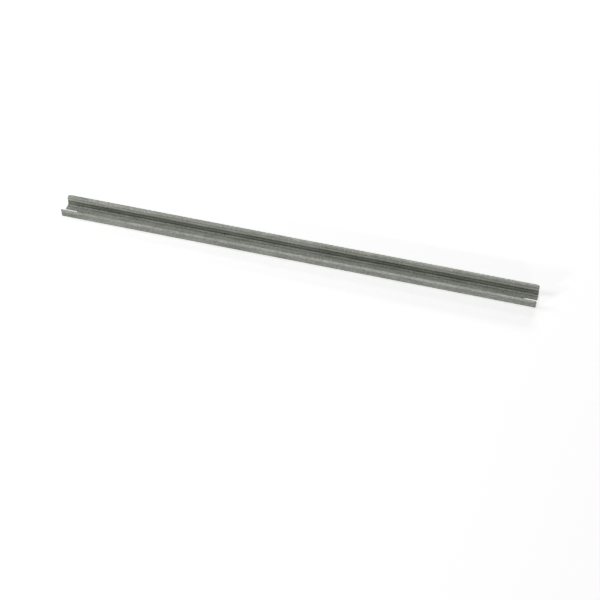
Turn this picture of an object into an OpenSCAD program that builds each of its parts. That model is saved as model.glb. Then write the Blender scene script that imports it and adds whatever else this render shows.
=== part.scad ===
// Top-hat mounting rail: one strip of zinc-coated steel, cold-rolled to a hat
// section and cut to length, with an open-ended fixing slot at each end.
//
// The rail lies with its open side up. X runs along it, Y across it and Z up.
// The origin is the middle of the underside of the web.

/* [Rail] */
// Length of the cut piece
rail_length = 685; // [120:1:2000]
// Width over both flanges
rail_width = 35; // [34:0.1:40]
// Height from the underside of the web to the top of the flanges
rail_height = 15; // [8:0.1:20]

/* [Section] */
// Clear width of the channel between its two walls
channel_width = 24; // [18:0.1:25]
// Thickness of the sheet
sheet_thickness = 1.5; // [0.8:0.1:2]
// Radius on the inside of every bend
bend_radius = 1.2; // [0.3:0.1:1.5]

/* [End slots] */
// Width of the slots
slot_width = 4.3; // [3:0.1:8]
// Length of the slots from the end of the rail to their round ends
slot_length = 18; // [6:0.5:40]

/* [Hidden] */
// How finely round forms are drawn
$fn = 96;
// How far a cut runs past the faces that it opens
cut_past = 1;
// Radius on the outside of every bend
outer_radius = bend_radius + sheet_thickness;
// Distances from the rail's middle plane
wall_inside = channel_width / 2;
wall_outside = wall_inside + sheet_thickness;
flange_edge = rail_width / 2;
ZINC = [0.56, 0.57, 0.54];

// A quarter ring of sheet round one bend. It runs from the direction
// start_angle through 90 degrees, about its own centre.
module bend(start_angle) {
    rotate(start_angle)
        intersection() {
            difference() {
                circle(r = outer_radius);
                circle(r = bend_radius);
            }
            square(outer_radius);
        }
}

// Half of the section, from the middle of the web to the edge of a flange
module half_section() {
    foot_centre = wall_inside - bend_radius;
    head_centre = wall_outside + bend_radius;
    // Web
    square([foot_centre, sheet_thickness]);
    // Bend from the web up into the wall
    translate([foot_centre, outer_radius])
        bend(270);
    // Wall
    translate([wall_inside, outer_radius])
        square([sheet_thickness, rail_height - 2 * outer_radius]);
    // Bend from the wall out into the flange
    translate([head_centre, rail_height - outer_radius])
        bend(90);
    // Flange
    translate([head_centre, rail_height - sheet_thickness])
        square([flange_edge - head_centre, sheet_thickness]);
}

// The whole hat section, drawn with Y across and Z up
module hat_section() {
    half_section();
    mirror([1, 0])
        half_section();
}

// The cut that opens one end slot: a straight mouth and a round inner end
module end_slot() {
    round_centre = rail_length / 2 - slot_length + slot_width / 2;
    mouth_end = rail_length / 2 + cut_past;
    depth = sheet_thickness + 2 * cut_past;
    translate([round_centre, 0, -cut_past])
        cylinder(d = slot_width, h = depth);
    translate([round_centre, -slot_width / 2, -cut_past])
        cube([mouth_end - round_centre, slot_width, depth]);
}

module rail() {
    color(ZINC)
        difference() {
            rotate([90, 0, 90])
                linear_extrude(height = rail_length, center = true)
                    hat_section();
            end_slot();
            mirror([1, 0, 0])
                end_slot();
        }
}

rail();
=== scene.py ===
# A top-hat mounting rail of galvanised steel, open side up, on a pale studio floor.
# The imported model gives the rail's place and outer size. The rail drawn here has
# the same section with finely turned bends, sheared edges and a zinc finish.
import math

import bpy
from mathutils import Matrix, Vector


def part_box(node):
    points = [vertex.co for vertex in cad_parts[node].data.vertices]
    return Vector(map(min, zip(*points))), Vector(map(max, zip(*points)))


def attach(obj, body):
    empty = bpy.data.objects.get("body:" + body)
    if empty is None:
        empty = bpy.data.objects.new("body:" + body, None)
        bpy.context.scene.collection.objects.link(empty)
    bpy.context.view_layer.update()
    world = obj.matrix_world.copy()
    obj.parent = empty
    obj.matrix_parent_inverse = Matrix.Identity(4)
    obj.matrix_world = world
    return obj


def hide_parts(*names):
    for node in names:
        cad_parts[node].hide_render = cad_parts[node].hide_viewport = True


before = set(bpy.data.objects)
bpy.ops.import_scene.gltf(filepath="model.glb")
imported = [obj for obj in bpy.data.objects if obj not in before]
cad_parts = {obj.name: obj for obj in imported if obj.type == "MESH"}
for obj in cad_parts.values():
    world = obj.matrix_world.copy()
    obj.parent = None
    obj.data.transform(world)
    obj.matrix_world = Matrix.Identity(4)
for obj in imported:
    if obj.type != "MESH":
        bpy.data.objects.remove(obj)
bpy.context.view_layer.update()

MM = 0.001

# ---------------------------------------------------------------- sizes, in mm
LOW, HIGH = (Vector(corner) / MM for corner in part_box("rail"))
RAIL_LENGTH = HIGH.x - LOW.x
RAIL_WIDTH = HIGH.y - LOW.y
RAIL_HEIGHT = HIGH.z - LOW.z
SHEET = 1.5
CHANNEL_WIDTH = 24.0
BEND_INSIDE = 1.2
BEND_OUTSIDE = BEND_INSIDE + SHEET
BEND_STEPS = 12
SLOT_WIDTH = 4.3
SLOT_LENGTH = 18.0
CORNER_ROUND = 2.7
CORNER_LEAN = 1.3
CORNER_STEPS = 8
EDGE_ROUND = 0.15
EDGE_STEPS = 3
# Edges turned by more than these, in degrees, are rounded, or shaded sharp
ROUNDED_FROM = 40
SHARP_FROM = 35
# Two places closer than this count as one
NEAR = 0.01

# Where the flat parts of the section end, measured from the rail's middle plane
WEB_FLAT = CHANNEL_WIDTH / 2 - BEND_INSIDE
HEAD_CENTRE = CHANNEL_WIDTH / 2 + BEND_OUTSIDE


# ---------------------------------------------------------------- modelling
def start_clean():
    """Leaves no object selected."""
    bpy.ops.object.select_all(action="DESELECT")


def edit(obj, kind):
    """Goes into edit mode on obj with nothing selected."""
    start_clean()
    obj.select_set(True)
    bpy.context.view_layer.objects.active = obj
    bpy.ops.object.mode_set(mode="EDIT")
    bpy.ops.mesh.select_mode(type=kind)
    bpy.ops.mesh.select_all(action="DESELECT")


def pick(obj, kind, test):
    """Selects the vertices, edges or faces of obj whose middle, in mm, passes the test."""
    edit(obj, kind)
    bpy.ops.object.mode_set(mode="OBJECT")
    mesh = obj.data
    items = {"VERT": mesh.vertices, "EDGE": mesh.edges, "FACE": mesh.polygons}[kind]
    for item in items:
        if kind == "VERT":
            middle = item.co
        elif kind == "EDGE":
            middle = (mesh.vertices[item.vertices[0]].co + mesh.vertices[item.vertices[1]].co) / 2
        else:
            middle = item.center
        item.select = bool(test(middle / MM, item))
    bpy.ops.object.mode_set(mode="EDIT")


def apply(obj, kind, **settings):
    """Adds a modifier with its settings and applies it."""
    start_clean()
    obj.select_set(True)
    bpy.context.view_layer.objects.active = obj
    modifier = obj.modifiers.new(kind.title(), kind)
    for name, value in settings.items():
        setattr(modifier, name, value)
    bpy.ops.object.modifier_apply(modifier=modifier.name)


def settle(obj):
    """Puts the object's place, turn and size into its mesh."""
    start_clean()
    obj.select_set(True)
    bpy.context.view_layer.objects.active = obj
    bpy.ops.object.transform_apply(location=True, rotation=True, scale=True)


def inner_sheet():
    """The open side's surface, from the middle plane to one flange edge."""
    start_clean()
    bpy.ops.mesh.primitive_plane_add(size=1, location=(0, WEB_FLAT / 2 * MM, SHEET * MM))
    sheet = bpy.context.object
    sheet.name = "galvanised_rail"
    sheet.scale = (RAIL_LENGTH * MM, WEB_FLAT * MM, 1)
    settle(sheet)

    # The bend from the web up into the wall
    pick(sheet, "EDGE", lambda middle, edge: middle.y > WEB_FLAT - NEAR)
    bpy.ops.mesh.spin(
        steps=BEND_STEPS,
        angle=-math.pi / 2,
        center=(0, WEB_FLAT * MM, BEND_OUTSIDE * MM),
        axis=(1, 0, 0),
    )
    # The wall
    wall = RAIL_HEIGHT - SHEET - BEND_INSIDE - BEND_OUTSIDE
    bpy.ops.mesh.extrude_region_move(TRANSFORM_OT_translate={"value": (0, 0, wall * MM)})
    # The bend from the wall out into the flange
    bpy.ops.mesh.spin(
        steps=BEND_STEPS,
        angle=math.pi / 2,
        center=(0, HEAD_CENTRE * MM, (RAIL_HEIGHT - BEND_OUTSIDE) * MM),
        axis=(1, 0, 0),
    )
    # The flange
    flange = RAIL_WIDTH / 2 - HEAD_CENTRE
    bpy.ops.mesh.extrude_region_move(TRANSFORM_OT_translate={"value": (0, flange * MM, 0)})
    # The flange's corners: its ends lean in towards the outer edge, and then the corners
    # are rounded in plan, so that they look cut to a larger radius than the flat is wide
    bpy.ops.object.mode_set(mode="OBJECT")
    pick(sheet, "VERT", lambda place, vert: place.y > RAIL_WIDTH / 2 - NEAR)
    bpy.ops.transform.resize(value=(1 - 2 * CORNER_LEAN / RAIL_LENGTH, 1, 1))
    bpy.ops.mesh.bevel(affect="VERTICES", offset=CORNER_ROUND * MM, segments=CORNER_STEPS)
    bpy.ops.object.mode_set(mode="OBJECT")
    return sheet


def slot_cutter(side):
    """A round-ended bar that cuts one end slot, from its inner end out past the rail."""
    round_centre = RAIL_LENGTH / 2 - SLOT_LENGTH + SLOT_WIDTH / 2
    start_clean()
    bpy.ops.mesh.primitive_cylinder_add(
        vertices=96,
        radius=SLOT_WIDTH / 2 * MM,
        depth=4 * SHEET * MM,
        location=(side * round_centre * MM, 0, SHEET / 2 * MM),
    )
    cutter = bpy.context.object
    settle(cutter)
    pick(cutter, "VERT", lambda place, vert: side * place.x > round_centre + NEAR)
    bpy.ops.transform.translate(value=(side * SLOT_LENGTH * MM, 0, 0))
    bpy.ops.object.mode_set(mode="OBJECT")
    return cutter


def make_rail():
    """The whole rail: both halves of the surface, given their thickness, slots and edges."""
    rail = inner_sheet()
    apply(rail, "MIRROR", use_axis=(False, True, False), merge_threshold=NEAR * MM)
    edit(rail, "FACE")
    bpy.ops.mesh.select_all(action="SELECT")
    bpy.ops.mesh.remove_doubles(threshold=NEAR / 10 * MM)
    bpy.ops.mesh.normals_make_consistent(inside=False)
    bpy.ops.object.mode_set(mode="OBJECT")
    web = min(rail.data.polygons, key=lambda face: abs(face.center.y))
    if web.normal.z < 0:
        edit(rail, "FACE")
        bpy.ops.mesh.select_all(action="SELECT")
        bpy.ops.mesh.flip_normals()
        bpy.ops.object.mode_set(mode="OBJECT")
    apply(rail, "SOLIDIFY", thickness=SHEET * MM, offset=-1, use_even_offset=True)
    for side in (-1, 1):
        cutter = slot_cutter(side)
        apply(rail, "BOOLEAN", operation="DIFFERENCE", solver="EXACT", object=cutter)
        bpy.data.objects.remove(cutter)
    apply(
        rail,
        "BEVEL",
        width=EDGE_ROUND * MM,
        segments=EDGE_STEPS,
        limit_method="ANGLE",
        angle_limit=math.radians(ROUNDED_FROM),
    )
    bpy.ops.object.shade_smooth_by_angle(angle=math.radians(SHARP_FROM))
    apply(rail, "WEIGHTED_NORMAL", keep_sharp=True)
    return rail


def is_cut(middle, face):
    """True for a face that the cut to length or a slot's punch left bare."""
    at_end = abs(face.normal.x) > 0.8 and abs(middle.x) > RAIL_LENGTH / 2 - CORNER_LEAN
    slot_reach = abs(middle.x) > RAIL_LENGTH / 2 - SLOT_LENGTH - NEAR
    in_slot = slot_reach and abs(middle.y) < SLOT_WIDTH / 2 + NEAR and abs(face.normal.z) < 0.1
    return at_end or in_slot


def give_cut_faces(piece, slot_number):
    """Gives the cut faces the piece's material of that number."""
    pick(piece, "FACE", is_cut)
    piece.active_material_index = slot_number
    bpy.ops.object.material_slot_assign()
    bpy.ops.object.mode_set(mode="OBJECT")


# ---------------------------------------------------------------- materials
ZINC_DARK = "#7f8378"
ZINC = "#a0a39b"
ZINC_PALE = "#c0c1ba"
ZINC_DIM = "#5c6056"
ZINC_BRIGHT = "#dfe0da"
ZINC_SPECK = "#e4e6e0"
# Painted light and shade on the channel's inside: where each band lies, in mm, and its tone, 0.5 being
# plain zinc. The folds get painted shade with a painted highlight beside them, the walls a painted
# shadow low down under a paler top, and the web a darker band near each wall.
# On the web it is the distance from the middle plane, and on the walls the height.
WEB_PAINTED_LIGHT = (
    (1.5, 0.47),
    (4.7, 0.68),
    (7.9, 0.4),
    (9.8, 0.9),
    (11.2, 0.3),
    (12.0, 0.5),
)
WALL_PAINTED_LIGHT = (
    (1.6, 0.5),
    (2.1, 0.02),
    (3.9, 0.6),
    (5.2, 0.62),
    (7.6, 0.18),
    (9.8, 0.75),
    (11.1, 0.86),
    (13.0, 0.42),
)
# The distance, in mm, that a ramp of bands covers, and how strongly the bands' painted light and shade
# show
BAND_REACH = 15.0
BAND_DEPTH = 0.5
ZINC_METALLIC = 0.3
ZINC_ROUGHNESS = 0.5
# The depth of the grain's relief, in mm
ZINC_RELIEF = 0.12
# A cell whose random tone is above this holds a speck
SPECK_FROM = 0.8
# The spot of dirt: its colour, and its middle and radius in mm
DIRT = "#2a2924"
DIRT_PLACE = Vector((-106.6, 11.6, 1.9))
DIRT_RADIUS = 1.5
# A blade mark's width and length, in mm
BLADE_MARK = (0.25, 2)
SHEARED_DARK = "#5f615b"
SHEARED_PALE = "#83857e"
# The paper as it is seen, as it lights other things, and its own glow where it is seen
PAPER = "#f4f4f4"
PAPER_BOUNCE = "#a0a0a0"
PAPER_GLOW = 0.58


def hex_colour(code):
    """An sRGB hex colour as the linear colour that a shader takes."""
    parts = [int(code[i : i + 2], 16) / 255 for i in (1, 3, 5)]
    linear = [c / 12.92 if c <= 0.04045 else ((c + 0.055) / 1.055) ** 2.4 for c in parts]
    return (*linear, 1)


def new_material(name):
    """A material with no nodes yet."""
    material = bpy.data.materials.new(name)
    material.use_nodes = True
    material.node_tree.nodes.clear()
    return material


def add(material, kind, links=None, **settings):
    """Adds a node. Settings are its properties or its sockets' values, by name or number,
    and links feed its sockets."""
    tree = material.node_tree
    node = tree.nodes.new(kind)
    for name, value in settings.items():
        if hasattr(node, name):
            setattr(node, name, value)
        else:
            socket = int(name) if name.isdigit() else name.replace("_", " ")
            node.inputs[socket].default_value = value
    for socket, source in (links or {}).items():
        tree.links.new(source, node.inputs[socket])
    return node


def ramp(node, *stops):
    """Sets a colour ramp's stops: (position, colour) pairs."""
    elements = node.color_ramp.elements
    while len(elements) > 1:
        elements.remove(elements[-1])
    elements[0].position, elements[0].color = stops[0]
    for position, colour in stops[1:]:
        elements.new(position).color = colour
    return node


def grey(value):
    """A linear grey."""
    return (value, value, value, 1)


def spaces(material, place, sizes):
    """For each name, a space in which one unit is that many mm along the rail and across it."""
    made = {}
    for name, (along, across) in sizes.items():
        scale = (1 / (along * MM), 1 / (across * MM), 1 / (across * MM))
        made[name] = add(material, "ShaderNodeMapping", {"Vector": place}, Scale=scale).outputs[0]
    return made


def painted_light_bands(material, place):
    """Painted light and shade: how much paler each lengthwise band of the channel's inside is, or
    darker below 0. The folds get painted shade with a painted highlight beside them, and the walls and
    web get painted shadow and painted reflection. The bands are guessed marks of the forming rolls,
    and partly stand for what the zinc reflects in a real room."""
    part = add(material, "ShaderNodeSeparateXYZ", {0: place}).outputs
    across = add(material, "ShaderNodeMath", {0: part["Y"]}, operation="ABSOLUTE").outputs[0]
    total = None
    for reach, bands in ((across, WEB_PAINTED_LIGHT), (part["Z"], WALL_PAINTED_LIGHT)):
        place_in_ramp = add(
            material,
            "ShaderNodeMath",
            {0: reach},
            operation="DIVIDE",
            **{"1": BAND_REACH * MM},
        )
        pale = ramp(
            add(material, "ShaderNodeValToRGB", {"Fac": place_in_ramp.outputs["Value"]}),
            *((distance / BAND_REACH, grey(tone)) for distance, tone in bands),
        )
        centred = add(
            material,
            "ShaderNodeMath",
            {0: pale.outputs["Color"]},
            operation="SUBTRACT",
            **{"1": 0.5},
        ).outputs["Value"]
        if total is None:
            total = centred
        else:
            total = add(material, "ShaderNodeMath", {0: total, 1: centred}).outputs["Value"]
    inside = add(
        material,
        "ShaderNodeMath",
        {0: across},
        operation="LESS_THAN",
        **{"1": (CHANNEL_WIDTH / 2 + BEND_INSIDE / 2) * MM},
    )
    kept = add(
        material, "ShaderNodeMath", {0: total, 1: inside.outputs["Value"]}, operation="MULTIPLY"
    )
    return kept.outputs["Value"]


def galvanised_steel():
    """Cold-rolled steel strip, galvanised before it was formed. The dull zinc gives a
    soft grey-green sheen with a fine grain, faint rolling streaks and a few pale specks."""
    m = new_material("galvanised_steel")
    place = add(m, "ShaderNodeTexCoord").outputs["Object"]
    # The real grain is under 1 mm across; "grain" is drawn coarser so that it shows
    space = spaces(
        m,
        place,
        {
            "clouds": (30, 8),
            "grain": (2.8, 2.0),
            "fine grain": (1.1, 0.8),
            "streaks": (120, 0.8),
            "specks": (8, 8),
        },
    )
    clouds = add(m, "ShaderNodeTexNoise", {"Vector": space["clouds"]}, Scale=1.0, Detail=3.0)
    grain = add(m, "ShaderNodeTexNoise", {"Vector": space["grain"]}, Scale=1.0, Detail=2.0)
    fine = add(m, "ShaderNodeTexNoise", {"Vector": space["fine grain"]}, Scale=1.0, Detail=1.0)
    streaks = add(m, "ShaderNodeTexNoise", {"Vector": space["streaks"]}, Scale=1.0, Detail=2.0)

    grains = add(
        m,
        "ShaderNodeMix",
        {"A": grain.outputs["Fac"], "B": fine.outputs["Fac"]},
        Factor=0.35,
    )
    patches = add(
        m,
        "ShaderNodeMix",
        {"A": clouds.outputs["Fac"], "B": streaks.outputs["Fac"]},
        Factor=0.3,
    )
    tone = add(
        m,
        "ShaderNodeMix",
        {"A": patches.outputs["Result"], "B": grains.outputs["Result"]},
        Factor=0.62,
    )
    # The zinc's tone takes the painted light and shade of the channel's bands
    banded = add(
        m,
        "ShaderNodeMath",
        {0: painted_light_bands(m, place), 2: tone.outputs["Result"]},
        operation="MULTIPLY_ADD",
        **{"1": BAND_DEPTH},
    )
    zinc = ramp(
        add(m, "ShaderNodeValToRGB", {"Fac": banded.outputs["Value"]}),
        (0.26, hex_colour(ZINC_DIM)),
        (0.38, hex_colour(ZINC_DARK)),
        (0.5, hex_colour(ZINC)),
        (0.62, hex_colour(ZINC_PALE)),
        (0.76, hex_colour(ZINC_BRIGHT)),
    )

    # Pale specks: the cores of a few of the cells
    cells = add(m, "ShaderNodeTexVoronoi", {"Vector": space["specks"]}, Scale=1.0)
    chosen = add(
        m,
        "ShaderNodeMath",
        {0: cells.outputs["Color"]},
        operation="GREATER_THAN",
        **{"1": SPECK_FROM},
    )
    core = add(
        m,
        "ShaderNodeMapRange",
        {"Value": cells.outputs["Distance"]},
        From_Min=0.05,
        From_Max=0.13,
        To_Min=0.75,
        To_Max=0.0,
    )
    speck = add(
        m,
        "ShaderNodeMath",
        {0: chosen.outputs["Value"], 1: core.outputs["Result"]},
        operation="MULTIPLY",
    )
    specked = add(
        m,
        "ShaderNodeMix",
        {"Factor": speck.outputs["Value"], "A": zinc.outputs["Color"]},
        data_type="RGBA",
        B=hex_colour(ZINC_SPECK),
    )

    # A spot of dirt in the far fold
    from_dirt = add(
        m, "ShaderNodeVectorMath", {0: place}, operation="DISTANCE", **{"1": DIRT_PLACE * MM}
    )
    dirt = add(
        m,
        "ShaderNodeMapRange",
        {"Value": from_dirt.outputs["Value"]},
        From_Min=DIRT_RADIUS * 0.6 * MM,
        From_Max=DIRT_RADIUS * 1.2 * MM,
        To_Min=0.9,
        To_Max=0.0,
    )
    colour = add(
        m,
        "ShaderNodeMix",
        {"Factor": dirt.outputs["Result"], "A": specked.outputs["Result"]},
        data_type="RGBA",
        B=hex_colour(DIRT),
    )

    roughness = add(
        m,
        "ShaderNodeMapRange",
        {"Value": patches.outputs["Result"]},
        From_Min=0.35,
        From_Max=0.65,
        To_Min=ZINC_ROUGHNESS - 0.05,
        To_Max=ZINC_ROUGHNESS + 0.05,
    )
    relief = add(
        m,
        "ShaderNodeBump",
        {"Height": tone.outputs["Result"]},
        Strength=0.35,
        Distance=ZINC_RELIEF * MM,
    )
    surface = add(
        m,
        "ShaderNodeBsdfPrincipled",
        {
            "Base Color": colour.outputs["Result"],
            "Roughness": roughness.outputs["Result"],
            "Normal": relief.outputs["Normal"],
        },
        Metallic=ZINC_METALLIC,
    )
    add(m, "ShaderNodeOutputMaterial", {"Surface": surface.outputs["BSDF"]})
    return m


def sheared_steel():
    """Bare steel where the strip was cut after galvanising: darker and duller than the
    zinc, with short marks that the blade drew through the thickness."""
    m = new_material("sheared_steel")
    place = add(m, "ShaderNodeTexCoord").outputs["Object"]
    mark_width, mark_length = BLADE_MARK
    marks_size = (1 / (mark_width * MM), 1 / (mark_width * MM), 1 / (mark_length * MM))
    space = add(m, "ShaderNodeMapping", {"Vector": place}, Scale=marks_size)
    marks = add(m, "ShaderNodeTexNoise", {"Vector": space.outputs[0]}, Scale=1.0, Detail=2.0)
    steel = ramp(
        add(m, "ShaderNodeValToRGB", {"Fac": marks.outputs["Fac"]}),
        (0.35, hex_colour(SHEARED_DARK)),
        (0.65, hex_colour(SHEARED_PALE)),
    )
    relief = add(
        m, "ShaderNodeBump", {"Height": marks.outputs["Fac"]}, Strength=0.4, Distance=0.05 * MM
    )
    surface = add(
        m,
        "ShaderNodeBsdfPrincipled",
        {"Base Color": steel.outputs["Color"], "Normal": relief.outputs["Normal"]},
        Metallic=0.8,
        Roughness=0.5,
    )
    add(m, "ShaderNodeOutputMaterial", {"Surface": surface.outputs["BSDF"]})
    return m


def seen_directly(material):
    """1 where a camera ray, a reflection or a ray through glass arrives, and 0 for bounced light."""
    rays = add(material, "ShaderNodeLightPath").outputs
    seen = rays["Is Camera Ray"]
    for kind in ("Is Glossy Ray", "Is Transmission Ray"):
        seen = add(material, "ShaderNodeMath", {0: seen, 1: rays[kind]}, operation="MAXIMUM").outputs[0]
    return seen


def studio_paper():
    """Matt white paper, with a glow of its own for what sees it directly. It looks white and
    keeps the shadow, and its bounced light is held back so that the rail's sides stay dark."""
    m = new_material("studio_paper")
    seen = seen_directly(m)
    colour = add(
        m,
        "ShaderNodeMix",
        {"Factor": seen},
        data_type="RGBA",
        A=hex_colour(PAPER_BOUNCE),
        B=hex_colour(PAPER),
    )
    glow = add(m, "ShaderNodeMath", {0: seen}, operation="MULTIPLY", **{"1": PAPER_GLOW})
    surface = add(
        m,
        "ShaderNodeBsdfPrincipled",
        {"Base Color": colour.outputs["Result"], "Emission Strength": glow.outputs["Value"]},
        Emission_Color=(1, 1, 1, 1),
        Roughness=0.9,
    )
    add(m, "ShaderNodeOutputMaterial", {"Surface": surface.outputs["BSDF"]})
    return m


# ---------------------------------------------------------------- stage
# The camera's aim, distance and lens in mm, and its angles in degrees
CAMERA_AIM = Vector((30.0, -82.0, 0.0))
CAMERA_AZIMUTH = 15.757
CAMERA_ELEVATION = 46.897
CAMERA_ROLL = -0.391
CAMERA_DISTANCE = 2356.8
CAMERA_LENS = 103.514
CAMERA_SENSOR = 36
# In metres
FLOOR_SIZE = 12
CAMERA_CLIP = (0.05, 50)
# The world's strength for bounced light, and as the camera and reflections see it
WORLD_LEVEL = 0.14
WORLD_SEEN = 1.0
# Name, azimuth and elevation in degrees, distance, width and height in metres, power in watts
LAMPS = (
    ("back_high", 180, 50, 2.5, 1.2, 0.5, 4),
    ("back_low", 180, 22, 3.0, 1.6, 0.5, 20),
    ("front_left", -32, 13.8, 3.0, 0.4, 0.12, 18),
    ("front_right", 32, 13.8, 3.0, 0.4, 0.12, 7),
    ("left_side", -75, 35, 2.5, 1.0, 0.8, 18.5),
)


def towards(azimuth, elevation):
    """The direction from the rail to something at that azimuth and elevation, in degrees."""
    a, e = math.radians(azimuth), math.radians(elevation)
    return Vector((math.sin(a) * math.cos(e), -math.cos(a) * math.cos(e), math.sin(e)))


def make_camera():
    """The camera, turned to the rail and rolled about its own view."""
    data = bpy.data.cameras.new("camera")
    data.sensor_width = CAMERA_SENSOR
    data.lens = CAMERA_LENS
    data.clip_start, data.clip_end = CAMERA_CLIP
    camera = bpy.data.objects.new("camera", data)
    bpy.context.collection.objects.link(camera)
    back = towards(CAMERA_AZIMUTH, CAMERA_ELEVATION)
    look = (-back).to_track_quat("-Z", "Y").to_matrix()
    roll = Matrix.Rotation(math.radians(CAMERA_ROLL), 3, "Z")
    camera.matrix_world = (look @ roll).to_4x4()
    camera.location = (CAMERA_AIM + back * CAMERA_DISTANCE) * MM
    bpy.context.scene.camera = camera


def softbox(name, azimuth, elevation, distance, width, height, power):
    """A soft lamp that faces the rail."""
    data = bpy.data.lights.new(name, "AREA")
    data.shape = "RECTANGLE"
    data.size, data.size_y = width, height
    data.energy = power
    lamp = bpy.data.objects.new(name, data)
    bpy.context.collection.objects.link(lamp)
    back = towards(azimuth, elevation)
    lamp.location = back * distance
    lamp.rotation_euler = back.to_track_quat("Z", "Y").to_euler()


def make_stage():
    """The paper floor, the pale world and the lamps."""
    start_clean()
    bpy.ops.mesh.primitive_plane_add(size=FLOOR_SIZE, location=(0, 0, 0))
    floor = bpy.context.object
    floor.name = "studio_floor"
    floor.data.materials.append(studio_paper())

    world = bpy.context.scene.world or bpy.data.worlds.new("studio")
    bpy.context.scene.world = world
    world.use_nodes = True
    world.node_tree.nodes.clear()
    level = add(
        world,
        "ShaderNodeMix",
        {"Factor": seen_directly(world)},
        A=WORLD_LEVEL,
        B=WORLD_SEEN,
    )
    background = add(
        world, "ShaderNodeBackground", {"Strength": level.outputs["Result"]}, Color=(1, 1, 1, 1)
    )
    add(world, "ShaderNodeOutputWorld", {"Surface": background.outputs[0]})

    for lamp in LAMPS:
        softbox(*lamp)


make_camera()
rail = make_rail()
rail.data.materials.append(galvanised_steel())
rail.data.materials.append(sheared_steel())
give_cut_faces(rail, 1)
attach(rail, "root")
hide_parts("rail")
make_stage()
bpy.context.scene.view_settings.view_transform = "Standard"
